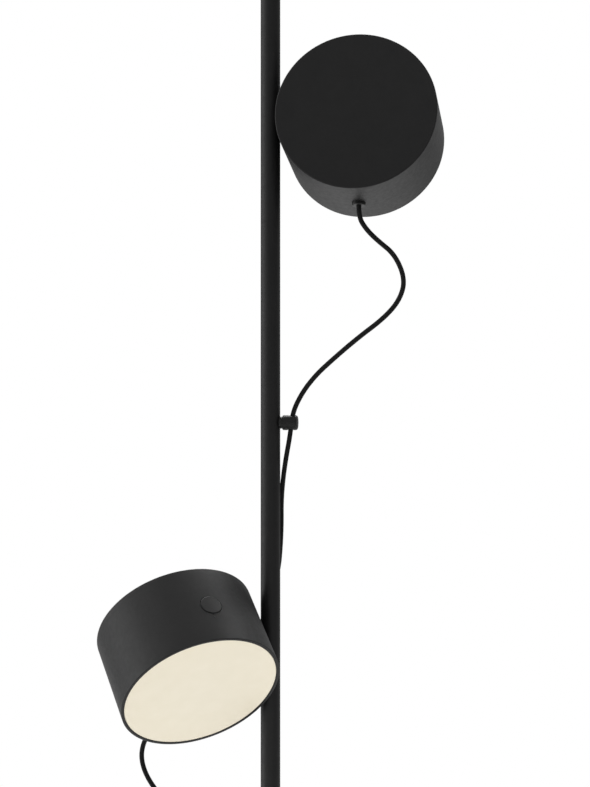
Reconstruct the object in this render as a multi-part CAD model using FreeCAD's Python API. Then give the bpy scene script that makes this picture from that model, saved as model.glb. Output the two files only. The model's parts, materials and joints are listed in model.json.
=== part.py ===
import FreeCAD, Part
import math
import os
from FreeCAD import Placement, Rotation, Vector

# Tension pole lamp: a round pole wedged between floor and ceiling by a sprung head piece,
# with two can-shaped spot heads that hold on to the pole by magnets. Millimetres, +Z up.
# The origin is the centre of the foot's underside, on the floor. The viewer's side is -Y.

# --- room and pole ---
ceiling_height = 2400.0
pole_radius = 8.0
pole_wall = 1.5
lower_seam = 650.0
upper_seam = 1650.0
upper_tube_top = 2230.0
fit = 0.05
face_gap = 0.3

# --- foot and ceiling piece ---
cup_radius = 30.0
cup_plate = 6.0
cup_floor = 5.0
cup_neck_radius = 11.0
cup_neck_height = 16.0
pad_thickness = 2.0
pad_inset = 1.5

# --- joints between the tubes ---
joiner_length = 60.0
joiner_wall = 1.5

# --- telescopic top with its spring ---
extension_radius = 6.0
extension_wall = 1.2
extension_overlap = 160.0
collar_radius = 11.0
collar_skirt = 18.0
collar_grip = 12.0
lock_screw_radius = 2.0
lock_screw_knob_radius = 5.0
lock_screw_knob_length = 8.0
rod_radius = 3.0
piston_flats = 8.8
piston_length = 8.0
plunger_travel = 30.0
bush_flange = 3.0
bush_spigot = 12.0
spring_length = 92.0
spring_radius = 4.2
spring_wire = 0.8
spring_stop_length = 8.0
ceiling_neck_radius = 9.0
ceiling_neck_height = 13.0
ceiling_socket = 14.0

# --- wiring in the pole ---
cord_radius = 2.0
cord_sides = 6
inner_cable_offset = 2.3
splice_bottom = 120.0
splice_size = 8.0
splice_length = 30.0
outlet_height = 60.0
outlet_flats = 7.0
outlet_proud = 2.0
boot_radius = 4.0
boot_length = 9.0
boot_pitch = 45.0
boot_bore_depth = 3.0

# --- lamp heads ---
head_radius = 65.0
head_depth = 72.4
head_wall = 2.5
head_back = 3.0
diffuser_thickness = 3.0
diffuser_recess = 0.4
diffuser_fit = 0.15
seat_lug_reach = 3.0
seat_lug_height = 3.0
seat_lug_width = 8.0
contact_from_back = 34.1
wall_gap = 1.22

# --- swivelling magnet shoe ---
shoe_side = 12.8
shoe_wrap = 1.0
saddle_clearance = 0.06
shoe_shaft_radius = 6.0
shoe_tail_side = 8.4
swivel_pad_side = 20.0
swivel_pad_depth = 3.0
spot_face_depth = 0.8
shoe_magnet_side = 7.0
shoe_magnet_length = 7.0
shoe_web = 0.9
swivel_nut_flats = 16.0
swivel_nut_thickness = 4.0

# --- light source ---
led_plate_flats = 112.0
led_plate_thickness = 2.0
led_plate_from_back = 51.0
led_rings = ((20.0, 4), (38.0, 8))
led_size = 4.0
led_height = 0.9
boss_side = 7.0
boss_circle = 48.0
boss_count = 3
plate_screw_width = 3.0
plate_screw_head_width = 5.5
plate_screw_head_height = 2.0
plate_screw_length = 10.0
driver_length = 60.0
driver_width = 44.0
driver_rib_height = 4.0
driver_rib_width = 5.0
driver_parts = ((-14.0, 6.0, 16.0, 11.0, 18.0), (10.0, 10.0, 10.0, 14.0, 10.0), (12.0, -10.0, 18.0, 5.0, 8.0))
board_thickness = 1.6

# --- push button ---
button_from_back = 38.0
button_radius = 8.5
button_proud = 0.4
button_gap = 0.3
button_flange_length = 22.0
button_flange_width = 12.0
button_flange_thickness = 1.2
button_stem = 3.0
button_travel = 1.0
switch_board_length = 30.0
switch_board_width = 16.0
switch_board_depth = 13.0
switch_post = 4.0
switch_size = 6.0
switch_height = 4.2
return_pad_side = 11.0
return_pad_wall = 1.2

# --- cord bush of a head ---
bush_from_back = 36.3
bush_radius = 5.5
bush_proud = 2.5
bush_shank_flats = 7.0
bush_bore_depth = 3.0
bush_tail = 3.0

# --- cord clip ---
clip_radius = 6.15
clip_reach = 22.5
clip_face = 10.3
clip_neck_radius = 4.9
clip_round = 0.9
clip_wrap = 0.6
clip_hole = 17.1
clip_hole_flats = 5.4

# --- where the heads and clips sit on the pole ---
upper_head_height = 1517.0
upper_head_bearing = -8.27
upper_head_pitch = -12.94
lower_head_height = 1091.0
lower_head_bearing = 207.5
lower_head_pitch = -42.99
clip_drop = 240.8
boot_drop = 160.0
clip_bearing = -8.27

# --- free cords, by their route's corner points ---
# Each starts at its head's bush, runs through the clip and ends in the boot behind the pole.
upper_lead = [
    (77.5, -27.6, 1431.5),
    (86.8, -28.4, 1422.3),
    (100.4, -28.3, 1411.4),
    (108.8, -26.4, 1391.8),
    (104.8, -23.5, 1375.6),
    (92.4, -20.3, 1361.0),
    (70.6, -15.4, 1344.6),
    (50.5, -10.9, 1327.4),
    (37.0, -8.1, 1314.9),
    (26.0, -5.3, 1300.8),
]
lower_lead = [
    (-95.2, 20.8, 1024.4),
    (-104.2, 29.0, 1014.6),
    (-108.6, 31.8, 1001.6),
    (-107.2, 31.4, 989.0),
    (-100.6, 29.6, 975.8),
    (-89.0, 26.2, 962.4),
    (-71.6, 21.0, 947.0),
    (-54.2, 15.6, 928.6),
    (-39.4, 10.0, 908.4),
    (-28.0, 4.2, 888.6),
    (-21.4, -0.6, 872.0),
]
# From the clip to the boot: offsets from the clip's centre height, mirrored for the other side.
tail = [
    (18.0, -3.1, 8.2),
    (16.1, -2.3, -10.4),
    (12.7, -0.6, -28.6),
    (10.1, 3.9, -46.8),
    (8.7, 7.0, -65.0),
    (8.8, 8.0, -84.0),
    (7.9, 12.4, -103.0),
    (6.3, 18.2, -120.0),
    (2.6, 22.4, -134.6),
]

TOP = Vector(0, 0, 1)
BACK = Vector(0, 1, 0)
contact_radius = pole_radius + wall_gap
head_axis_x = contact_radius + head_radius
inner_radius = head_radius - head_wall
saddle_radius = pole_radius + saddle_clearance
tube_bore = pole_radius - pole_wall


def cylinder(radius, length, base, direction=TOP):
    return Part.makeCylinder(radius, length, base, direction)


def ring(outer, inner, length, base, direction=TOP):
    return cylinder(outer, length, base, direction).cut(cylinder(inner, length, base, direction))


def turned(profile, base=Vector(0, 0, 0), direction=TOP):
    """Solid of revolution from (radius, height) corners, turned about its own axis."""
    corners = [Vector(r, 0, h) for r, h in profile]
    face = Part.Face(Part.makePolygon(corners + corners[:1]))
    solid = face.revolve(Vector(0, 0, 0), TOP, 360)
    solid.Placement = Placement(base, Rotation(TOP, direction))
    return solid


def prism(sides, flats, length, base, direction=TOP):
    """Regular bar stock, by its width across flats."""
    corner = flats / 2 / math.cos(math.pi / sides)
    corners = []
    for index in range(sides + 1):
        angle = 2 * math.pi * (index + 0.5) / sides
        corners.append(Vector(math.cos(angle), math.sin(angle), 0) * corner)
    bar = Part.Face(Part.makePolygon(corners)).extrude(TOP * length)
    bar.Placement = Placement(base, Rotation(TOP, direction))
    return bar


def block(x, y, z, centre):
    return Part.makeBox(x, y, z, centre - Vector(x, y, z) / 2)


def placed(shape, placement):
    moved = shape.copy()
    moved.Placement = placement.multiply(moved.Placement)
    return moved


def save(node, shape):
    os.makedirs("parts", exist_ok=True)
    shape.exportStep(f"parts/{node}.step")


# ---------------------------------------------------------------- pole

def tube(radius, wall, bottom, top):
    return ring(radius, radius - wall, top - bottom, Vector(0, 0, bottom))


def tube_foot():
    """Height at which the lowest tube stands in the foot cup's socket."""
    return pad_thickness + cup_floor


def floor_pieces():
    """Foot: rubber pad and a turned cup with a socket for the lowest tube."""
    plate_top = pad_thickness + cup_plate
    neck_top = plate_top + cup_neck_height
    cup = turned([
        (0, pad_thickness),
        (cup_radius, pad_thickness),
        (cup_radius, plate_top),
        (cup_neck_radius, plate_top),
        (cup_neck_radius, neck_top),
        (pole_radius + fit, neck_top),
        (pole_radius + fit, tube_foot()),
        (0, tube_foot()),
    ])
    return {"floor_pad": cylinder(cup_radius - pad_inset, pad_thickness, Vector(0, 0, 0)), "floor_cup": cup}


def tube_pieces():
    """Three tubes butted over joiners of hexagonal tube, which the cables run through."""
    main = tube(pole_radius, pole_wall, lower_seam, upper_seam)
    for height in boot_heights():
        mouth, inward = boot_axis(height)
        main = main.cut(cylinder(boot_radius + fit, boot_reach() + 2 * cord_radius, mouth, inward))
    lower = tube(pole_radius, pole_wall, tube_foot(), lower_seam)
    lower = lower.cut(prism(8, outlet_flats + 2 * fit, pole_radius + 1, Vector(0, 0, outlet_height), BACK))
    pieces = {"lower_tube": lower, "main_tube": main}
    pieces["upper_tube"] = tube(pole_radius, pole_wall, upper_seam, upper_tube_top)
    flats = 2 * (tube_bore - fit) * math.cos(math.pi / 6)
    for name, seam in (("lower_joiner", lower_seam), ("upper_joiner", upper_seam)):
        base = Vector(0, 0, seam - joiner_length / 2)
        pieces[name] = prism(6, flats, joiner_length, base).cut(prism(6, flats - 2 * joiner_wall, joiner_length, base))
    return pieces


def boot_heights():
    return [upper_head_height - clip_drop - boot_drop, lower_head_height - clip_drop - boot_drop]


def boot_axis(height):
    """Outer mouth of a cord boot behind the pole, and its inward direction."""
    slope = math.radians(boot_pitch)
    inward = Vector(0, -math.cos(slope), -math.sin(slope))
    mouth = Vector(0, pole_radius, height) - inward * boot_length
    return mouth, inward


def boot_reach():
    """Length of a boot, from its mouth to the inside of the pole's wall."""
    return boot_length + 1.5 * pole_wall / math.cos(math.radians(boot_pitch))


def cord_bore(depth, base, direction):
    """Eight-sided bore that takes a cord, as a tool to cut with."""
    return prism(8, 2 * (cord_radius + fit), depth, base, direction)


def wiring_pieces():
    """Boots behind the pole, the cables inside it, their splice and the empty outlet bush."""
    splice_top = splice_bottom + splice_length
    splice = block(splice_size, splice_size + 1, splice_length, Vector(0, 0, splice_bottom + splice_length / 2))
    outlet_start = Vector(0, tube_bore, outlet_height)
    outlet = prism(8, outlet_flats, pole_wall + outlet_proud, outlet_start, BACK)
    outlet = outlet.cut(cord_bore(pole_wall + outlet_proud, outlet_start, BACK))
    pieces = {"mains_outlet_bush": outlet, "splice_block": splice}
    for name, height, side in zip(("upper", "lower"), boot_heights(), (-1, 1)):
        mouth, inward = boot_axis(height)
        boot = cylinder(boot_radius, boot_reach(), mouth, inward)
        pieces[f"{name}_cord_boot"] = boot.cut(cord_bore(boot_bore_depth, mouth, inward))
        start = mouth + inward * boot_reach()
        lane = side * inner_cable_offset
        turn = Vector(0, lane, start.z - abs(start.y - lane) * math.tan(math.radians(boot_pitch)))
        route = [start, turn, Vector(0, lane, splice_top)]
        path = filleted(route, [1.6 * cord_radius])
        pieces[f"{name}_inner_cable"] = swept(path, route, cord_radius)
    return pieces


# ---------------------------------------------------------------- telescopic top

def top_pieces():
    """Lock collar and its screw, sliding extension, sprung plunger and the ceiling cup with its pad."""
    skirt_bottom = upper_tube_top - collar_skirt
    collar = prism(12, 2 * collar_radius, collar_skirt + collar_grip, Vector(0, 0, skirt_bottom))
    collar = collar.cut(cylinder(pole_radius + fit, collar_skirt, Vector(0, 0, skirt_bottom)))
    collar = collar.cut(cylinder(extension_radius + fit, collar_grip, Vector(0, 0, upper_tube_top)))
    screw_axis = Vector(0, 0, upper_tube_top + collar_grip / 2)
    collar = collar.cut(cylinder(lock_screw_radius + fit, 2 * collar_radius, screw_axis, BACK))
    screw_tip = screw_axis + BACK * (extension_radius + face_gap)
    knob_start = screw_axis + BACK * (collar_radius + face_gap)
    lock_screw = cylinder(lock_screw_radius, collar_radius - extension_radius, screw_tip, BACK)
    lock_screw = lock_screw.fuse(prism(12, 2 * lock_screw_knob_radius, lock_screw_knob_length, knob_start, BACK))

    plate_top = ceiling_height - pad_thickness
    neck_bottom = plate_top - cup_plate - ceiling_neck_height
    extension_top = neck_bottom - plunger_travel - bush_flange - 2
    bore = extension_radius - extension_wall
    extension = tube(extension_radius, extension_wall, upper_tube_top - extension_overlap, extension_top)
    bush_bottom = extension_top - bush_spigot
    bush = prism(12, 2 * (bore - fit) * math.cos(math.pi / 12), bush_spigot, Vector(0, 0, bush_bottom))
    bush = bush.fuse(cylinder(extension_radius, bush_flange, Vector(0, 0, extension_top)))
    bush = bush.cut(cylinder(rod_radius + fit, bush_spigot + bush_flange, Vector(0, 0, bush_bottom)))
    piston_bottom = bush_bottom - face_gap - piston_length
    rod_top = neck_bottom + ceiling_socket
    rod = cylinder(rod_radius, rod_top - piston_bottom, Vector(0, 0, piston_bottom))
    rod = rod.fuse(prism(12, piston_flats, piston_length, Vector(0, 0, piston_bottom)))
    spring_bottom = piston_bottom - spring_length
    spring = prism(12, 2 * spring_radius, spring_length, Vector(0, 0, spring_bottom))
    spring = spring.cut(prism(12, 2 * (spring_radius - spring_wire), spring_length, Vector(0, 0, spring_bottom)))
    stop = prism(12, 2 * (bore - 4 * fit), spring_stop_length, Vector(0, 0, spring_bottom - spring_stop_length))
    cup = turned([
        (0, plate_top),
        (cup_radius, plate_top),
        (cup_radius, plate_top - cup_plate),
        (ceiling_neck_radius, plate_top - cup_plate),
        (ceiling_neck_radius, neck_bottom),
        (rod_radius + fit, neck_bottom),
        (rod_radius + fit, rod_top),
        (0, rod_top),
    ])
    return {
        "reach_collar": collar,
        "lock_screw": lock_screw,
        "extension_tube": extension,
        "plunger_bush": bush,
        "plunger_rod": rod,
        "plunger_spring": spring,
        "spring_stop": stop,
        "ceiling_cup": cup,
        "ceiling_pad": cylinder(cup_radius - pad_inset, pad_thickness, Vector(0, 0, plate_top)),
    }


# ---------------------------------------------------------------- lamp head
# A head is built in its own frame: the pole is the Z axis, the head lies towards +X,
# its light face looks along +Y and the push button points up.

def head_axis(from_back):
    return Vector(head_axis_x, from_back - contact_from_back, 0)


def diffuser_from_back():
    """The diffuser stands a little inside the light face, on the lugs."""
    return head_depth - diffuser_recess - diffuser_thickness


def boss_places():
    places = []
    for index in range(boss_count):
        angle = 2 * math.pi * index / boss_count
        places.append(Vector(math.cos(angle), 0, math.sin(angle)) * boss_circle)
    return places


def shell():
    """Cast can: closed back, open light face, pads, posts, lugs and holes for what it carries."""
    can = cylinder(head_radius, head_depth, head_axis(0), BACK)
    can = can.cut(cylinder(inner_radius, head_depth, head_axis(head_back), BACK))
    seat = head_axis(diffuser_from_back() - seat_lug_height / 2)
    lug_middle = inner_radius + 1 - (seat_lug_reach + 1) / 2
    for side in (-1, 1):
        across = seat + Vector(side * lug_middle, 0, 0)
        can = can.fuse(block(seat_lug_reach + 1, seat_lug_height, seat_lug_width, across))
        upright = seat + TOP * side * lug_middle
        can = can.fuse(block(seat_lug_width, seat_lug_height, seat_lug_reach + 1, upright))
    pad_depth = head_wall + swivel_pad_depth - 1
    pad_middle = Vector(contact_radius + 1 + pad_depth / 2, 0, 0)
    can = can.fuse(block(pad_depth, swivel_pad_side, swivel_pad_side, pad_middle))
    boss_length = led_plate_from_back - head_back
    for place in boss_places():
        foot = head_axis(head_back) + place
        boss = block(boss_side, boss_length, boss_side, foot + BACK * boss_length / 2)
        screw_end = head_axis(led_plate_from_back - plate_screw_length + led_plate_thickness) + place
        boss = boss.cut(prism(6, plate_screw_width + 2 * fit, plate_screw_length, screw_end, BACK))
        can = can.fuse(boss)
    post_end = head_radius - switch_board_depth
    post_top = math.sqrt(inner_radius ** 2 - (switch_board_length / 2) ** 2) + 1
    for side in (-1, 1):
        rib = head_axis(head_back + driver_rib_height / 2)
        rib.x += side * (driver_length / 2 - driver_rib_width)
        can = can.fuse(block(driver_rib_width, driver_rib_height, driver_width, rib))
        post = head_axis(button_from_back) + TOP * (post_end + post_top) / 2
        post.x += side * (switch_board_length - switch_post) / 2
        can = can.fuse(block(switch_post, switch_board_width, post_top - post_end, post))

    out = Vector(1, 0, 0)
    pole_face = Vector(pole_radius, 0, 0)
    shaft_hole = cylinder(shoe_shaft_radius + fit, wall_gap + head_wall + 2 * swivel_pad_depth, pole_face, out)
    spot_radius = shoe_side / math.sqrt(2) + face_gap
    shoe_spot = cylinder(spot_radius, spot_face_depth + wall_gap, pole_face, out)
    button_hole = cylinder(button_radius + button_gap, 20, head_axis(button_from_back) + TOP * (head_radius - 8))
    bush_hole = prism(6, bush_shank_flats + 2 * fit, 20, head_axis(bush_from_back) - TOP * (head_radius + 5))
    return can.cut([shaft_hole, shoe_spot, button_hole, bush_hole])


def light_pieces():
    """LED plate on its bosses, the chips on it, its screws, the diffuser and the driver."""
    plate_base = head_axis(led_plate_from_back)
    plate_face = head_axis(led_plate_from_back + led_plate_thickness)
    plate = prism(8, led_plate_flats, led_plate_thickness, plate_base, BACK)
    screws = []
    for place in boss_places():
        plate = plate.cut(prism(6, plate_screw_width + 2 * fit, led_plate_thickness, plate_base + place, BACK))
        head = prism(6, plate_screw_head_width, plate_screw_head_height, plate_face + place, BACK)
        shank_end = plate_face + place - BACK * plate_screw_length
        screws.append(head.fuse(prism(6, plate_screw_width, plate_screw_length, shank_end, BACK)))
    chips = []
    for circle, count in led_rings:
        for index in range(count):
            angle = 2 * math.pi * (index + 0.5) / count
            place = Vector(math.cos(angle), 0, math.sin(angle)) * circle
            chips.append(block(led_size, led_height, led_size, plate_face + BACK * led_height / 2 + place))
    diffuser_base = head_axis(diffuser_from_back())
    diffuser = cylinder(inner_radius - diffuser_fit, diffuser_thickness, diffuser_base, BACK)
    board_base = head_back + driver_rib_height
    board = block(driver_length, board_thickness, driver_width, head_axis(board_base + board_thickness / 2))
    board_face = head_axis(board_base + board_thickness)
    for x, z, wide, high, deep in driver_parts:
        board = board.fuse(block(wide, high, deep, board_face + Vector(x, high / 2, z)))
    return {
        "led_plate": plate,
        "led_chips": Part.makeCompound(chips),
        "plate_screws": Part.makeCompound(screws),
        "diffuser": diffuser,
        "driver_board": board,
    }


def button_pieces():
    """Push button flush with the wall, its return pad and the switch on its board."""
    axis = head_axis(button_from_back)
    board_face = axis + TOP * (head_radius - switch_board_depth)
    flange_top = math.sqrt(inner_radius ** 2 - (button_flange_length / 2) ** 2) - face_gap
    flange_bottom = flange_top - button_flange_thickness
    cap = cylinder(button_radius, head_radius + button_proud, axis)
    cap = cap.cut(cylinder(2 * button_radius, flange_bottom, axis))
    cap = cap.common(cylinder(head_radius + button_proud, head_depth, head_axis(0), BACK))
    flange_middle = axis + TOP * (flange_top + flange_bottom) / 2
    flange = block(button_flange_length, button_flange_width, button_flange_thickness, flange_middle)
    stem_bottom = board_face + TOP * (switch_height + button_travel + face_gap)
    stem_length = axis.z + flange_bottom - stem_bottom.z
    stem = block(button_stem, button_stem, stem_length, stem_bottom + TOP * stem_length / 2)
    board = block(switch_board_length, switch_board_width, board_thickness, board_face - TOP * board_thickness / 2)
    board = board.fuse(block(switch_size, switch_size, switch_height, board_face + TOP * switch_height / 2))
    pad_height = axis.z + flange_bottom - board_face.z
    pad_middle = board_face + TOP * pad_height / 2
    bore = return_pad_side - 2 * return_pad_wall
    pad = block(return_pad_side, return_pad_side, pad_height, pad_middle)
    pad = pad.cut(block(bore, bore, pad_height, pad_middle))
    return {"button": cap.fuse([flange, stem]), "button_return_pad": pad, "switch_board": board}


def cord_bush():
    """Bush pressed through the wall by its hexagonal shank, with a short bore for the cord's end."""
    tip = head_axis(bush_from_back) - TOP * (head_radius + bush_proud)
    collar = cylinder(bush_radius, bush_proud, tip)
    shank = prism(6, bush_shank_flats, bush_proud + head_wall + bush_tail, tip)
    return collar.fuse(shank).cut(cord_bore(bush_bore_depth, tip, TOP))


def shoe_pieces():
    """Magnet shoe: hollowed to the pole in front, with a shaft that the head turns on."""
    out = Vector(1, 0, 0)
    front = pole_radius - shoe_wrap
    plate_end = contact_radius + spot_face_depth - 2 * fit
    nut_start = contact_radius + head_wall + swivel_pad_depth + 2 * fit
    tail_end = nut_start + swivel_nut_thickness
    shoe = block(plate_end - front, shoe_side, shoe_side, out * (front + plate_end) / 2)
    shoe = shoe.fuse(cylinder(shoe_shaft_radius, nut_start - fit - front, out * front, out))
    shoe = shoe.fuse(block(tail_end - front, shoe_tail_side, shoe_tail_side, out * (front + tail_end) / 2))
    shoe = shoe.cut(cylinder(saddle_radius, 4 * shoe_side, TOP * -2 * shoe_side))
    pocket_start = saddle_radius + shoe_web
    pocket_side = shoe_magnet_side + 2 * fit
    pocket_middle = out * (pocket_start + tail_end) / 2
    shoe = shoe.cut(block(tail_end - pocket_start, pocket_side, pocket_side, pocket_middle))
    nut_base = out * nut_start
    nut = prism(6, swivel_nut_flats, swivel_nut_thickness, nut_base, out)
    nut_bore = shoe_tail_side + 2 * fit
    nut = nut.cut(block(2 * swivel_nut_thickness, nut_bore, nut_bore, nut_base + out * swivel_nut_thickness))
    magnet_middle = out * (pocket_start + shoe_magnet_length / 2)
    magnet = block(shoe_magnet_length, shoe_magnet_side, shoe_magnet_side, magnet_middle)
    return {"shoe": shoe, "shoe_magnet": magnet, "swivel_nut": nut}


def head_pieces():
    return {"shell": shell(), **light_pieces(), **button_pieces(), "cord_bush": cord_bush()}


def head_placement(height, bearing, pitch):
    """Pitch turns the head about its contact with the pole, bearing turns it round the pole."""
    turn = Rotation(TOP, bearing).multiply(Rotation(Vector(1, 0, 0), pitch))
    return Placement(Vector(0, 0, height), turn)


# ---------------------------------------------------------------- cord clip

def clip_pieces():
    """Short round clip with a magnet foot and a leaning hole across it for the cord."""
    out = Vector(1, 0, 0)
    body = turned([
        (0, clip_face),
        (clip_radius, clip_face),
        (clip_radius, clip_reach - clip_round),
        (clip_radius - clip_round, clip_reach),
        (0, clip_reach),
    ], Vector(0, 0, 0), out)
    start, end = Vector(*tail[0]), Vector(*tail[1])
    lean = math.degrees(math.atan2(start.x - end.x, start.z - end.z))
    across = Rotation(BACK, lean).multVec(TOP)
    middle = Vector(clip_hole, 0, 0)
    body = body.cut(prism(8, clip_hole_flats, 8 * clip_radius, middle - across * 4 * clip_radius, across))
    magnet = cylinder(clip_neck_radius, clip_face - pole_radius + clip_wrap, Vector(pole_radius - clip_wrap, 0, 0), out)
    magnet = magnet.cut(cylinder(saddle_radius, 4 * clip_radius, Vector(0, 0, -2 * clip_radius)))
    return {"clip_body": body, "clip_magnet": magnet}


def clip_placement(height, side):
    """The right-hand clip stands at the clip bearing, the left-hand one is its mirror image."""
    bearing = clip_bearing if side > 0 else 180 - clip_bearing
    return Placement(Vector(0, 0, height), Rotation(TOP, bearing))


# ---------------------------------------------------------------- cords

def filleted(points, radii):
    """A route's path: straight runs joined by tangent arcs."""
    edges = []
    start = points[0]
    for index, radius in enumerate(radii):
        corner = points[index + 1]
        before = (points[index] - corner).normalize()
        after = (points[index + 2] - corner).normalize()
        half = before.getAngle(after) / 2
        first = corner + before * (radius / math.tan(half))
        last = corner + after * (radius / math.tan(half))
        middle = corner + (before + after).normalize() * (radius / math.sin(half) - radius)
        edges.append(Part.LineSegment(start, first).toShape())
        edges.append(Part.Arc(first, middle, last).toShape())
        start = last
    edges.append(Part.LineSegment(start, points[-1]).toShape())
    return Part.Wire(edges)


def swept(path, points, radius):
    """Tube of a faceted round section along a path."""
    ahead = Rotation(TOP, (points[1] - points[0]).normalize())
    corners = []
    for index in range(cord_sides + 1):
        angle = 2 * math.pi * index / cord_sides
        corners.append(points[0] + ahead.multVec(Vector(math.cos(angle), math.sin(angle), 0) * radius))
    return path.makePipeShell([Part.makePolygon(corners)], True, False, 1)


def free_cord(name, points):
    """Tube along the route, each arc as large as its two runs allow."""
    radii = []
    for before, corner, after in zip(points, points[1:], points[2:]):
        shorter = min((corner - before).Length, (after - corner).Length)
        turn = (corner - before).getAngle(after - corner)
        radii.append(0.45 * shorter / math.tan(turn / 2))
    path = filleted(points, radii)
    cord = swept(path, points, cord_radius)
    section = cord_sides / 2 * cord_radius ** 2 * math.sin(2 * math.pi / cord_sides)
    print(f"{name}: length {path.Length:.1f}, volume {cord.Volume:.1f}, section by length {section * path.Length:.1f}")
    print(f"  bend radii {[round(radius, 1) for radius in radii]}")
    return cord


def cord_route(placement, lead, clip_height, side):
    """From the bottom of the bush's bore, out along the bush, by the lead, clip and tail."""
    tip = head_axis(bush_from_back) - TOP * (head_radius + bush_proud)
    start = placement.multVec(tip + TOP * bush_bore_depth)
    out = placement.multVec(tip - TOP * 9.0)
    points = [start, out] + [Vector(*p) for p in lead]
    points += [Vector(side * x, y, clip_height + z) for x, y, z in tail]
    mouth, inward = boot_axis(clip_height - boot_drop)
    points += [mouth - inward * 9.0, mouth + inward * boot_bore_depth]
    return points


# ---------------------------------------------------------------- whole lamp

def build():
    for node, shape in {**floor_pieces(), **tube_pieces(), **wiring_pieces(), **top_pieces()}.items():
        save(node, shape)
    heads = (
        ("upper", upper_head_height, upper_head_bearing, upper_head_pitch, upper_lead, 1),
        ("lower", lower_head_height, lower_head_bearing, lower_head_pitch, lower_lead, -1),
    )
    head = head_pieces()
    shoe = shoe_pieces()
    for prefix, height, bearing, pitch, lead, side in heads:
        placement = head_placement(height, bearing, pitch)
        for name, shape in head.items():
            save(f"{prefix}_{name}", placed(shape, placement))
        for name, shape in shoe.items():
            save(f"{prefix}_{name}", placed(shape, head_placement(height, bearing, 0)))
        clip_height = height - clip_drop
        for name, shape in clip_pieces().items():
            save(f"{prefix}_{name}", placed(shape, clip_placement(clip_height, side)))
        save(f"{prefix}_cord", free_cord(f"{prefix}_cord", cord_route(placement, lead, clip_height, side)))


build()
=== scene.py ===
import json
import math

import bmesh
import bpy
from mathutils import Matrix, Vector


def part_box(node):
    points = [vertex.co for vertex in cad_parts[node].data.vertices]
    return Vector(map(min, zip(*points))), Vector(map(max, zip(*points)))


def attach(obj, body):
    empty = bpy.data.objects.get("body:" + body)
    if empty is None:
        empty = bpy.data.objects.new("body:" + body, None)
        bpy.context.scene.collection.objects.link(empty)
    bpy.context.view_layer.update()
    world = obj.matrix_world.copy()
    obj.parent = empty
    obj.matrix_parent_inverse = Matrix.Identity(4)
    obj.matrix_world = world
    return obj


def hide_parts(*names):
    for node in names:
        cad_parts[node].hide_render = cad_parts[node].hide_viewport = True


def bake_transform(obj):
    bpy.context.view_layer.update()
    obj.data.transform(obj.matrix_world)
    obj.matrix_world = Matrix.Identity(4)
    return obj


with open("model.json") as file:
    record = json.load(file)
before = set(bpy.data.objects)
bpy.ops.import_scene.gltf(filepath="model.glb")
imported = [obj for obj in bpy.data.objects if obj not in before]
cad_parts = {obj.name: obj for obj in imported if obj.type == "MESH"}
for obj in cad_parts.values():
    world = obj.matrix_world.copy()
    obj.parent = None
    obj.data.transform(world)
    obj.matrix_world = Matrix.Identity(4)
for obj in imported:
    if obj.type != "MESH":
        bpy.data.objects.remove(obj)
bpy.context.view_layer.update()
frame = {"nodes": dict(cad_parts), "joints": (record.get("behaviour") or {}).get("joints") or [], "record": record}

# Tension pole lamp. The frame and the cords are in metres; turned and cut pieces are drawn
# in millimetres in their own frames and brought to their place in the lamp by their mesh.

MM = 0.001

# --- camera, as the photograph was taken ---
IMAGE_HEIGHT = 787
CAMERA_PLACE = (0.0372, -1.5313, 1.2971)
CAMERA_LENS = 85.77
VIEW_AXIS_RIGHT_OF_MIDDLE = 21
VIEW_AXIS_BELOW_MIDDLE = 3.5

# --- sizes in millimetres, and counts ---
POLE_RADIUS = 8.0
POLE_WALL = 1.5
HEAD_RADIUS = 65.0
HEAD_DEPTH = 72.4
HEAD_WALL = 2.5
HEAD_BACK = 3.0
CONTACT_RADIUS = 9.22
CONTACT_FROM_BACK = 34.1
HEAD_MIDDLE = CONTACT_RADIUS + HEAD_RADIUS
DIFFUSER_GAP = 0.15
DIFFUSER_RECESS = 0.4
DIFFUSER_THICKNESS = 3.0
BUTTON_FROM_BACK = 38.0
BUTTON_RADIUS = 8.5
BUTTON_GAP = 0.3
BUTTON_PROUD = 0.4
BUSH_FROM_BACK = 36.3
BUSH_RADIUS = 5.5
BUSH_PROUD = 2.5
BUSH_HOLE_RADIUS = 4.1
SHOE_RECESS_RADIUS = 9.4
SHOE_RECESS_DEPTH = 2.02
SHAFT_HOLE_RADIUS = 6.1
CORD_RADIUS = 2.0
CORD_STRAIGHT = 9.0
CORD_BORE = CORD_RADIUS + 0.08
CORD_BORE_DEPTH = 3.0
CLIP_RADIUS = 6.15
CLIP_FACE = 10.3
CLIP_REACH = 22.5
CLIP_NECK_RADIUS = 4.9
CLIP_HOLE = 17.1
CLIP_HOLE_RADIUS = 2.7
BOOT_RADIUS = 4.0
BOOT_LENGTH = 9.0
BOOT_PITCH = 45.0
BOOT_DROP = 160.0
EXTENSION_RADIUS = 6.0
EXTENSION_WALL = 1.2
POLE_SOCKET_RADIUS = 8.05
EXTENSION_SOCKET_RADIUS = 6.05
OUTLET_HEIGHT = 60.0
OUTLET_HOLE_RADIUS = 3.6
END_PLATE_RADIUS = 30
END_PLATE_THICKNESS = 6
END_PAD_RADIUS = 28.5
COLLAR_STEP = 18.0
LOCK_SCREW_ABOVE_STEP = 6
LOCK_SCREW_HOLE_RADIUS = 2.1
PLUNGER_BORE = 3.05
SPRING_TURNS = 16.0
SPRING_RADIUS = 3.7
SPRING_WIRE_RADIUS = 0.42
SPRING_END_GAP = 0.5
LED_PLATE_FROM_BACK = 53.0
# Radius of each ring of LED packages, and how many it has.
LED_RINGS = ((20.0, 4), (38.0, 8))
PLATE_SCREW_COUNT = 3
PLATE_SCREW_CIRCLE = 48.0

# --- light ---
OPAL_EMISSION = 0.20
FLOOR_LIFT = 0.42
WORLD_LEVEL = 0.41
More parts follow.
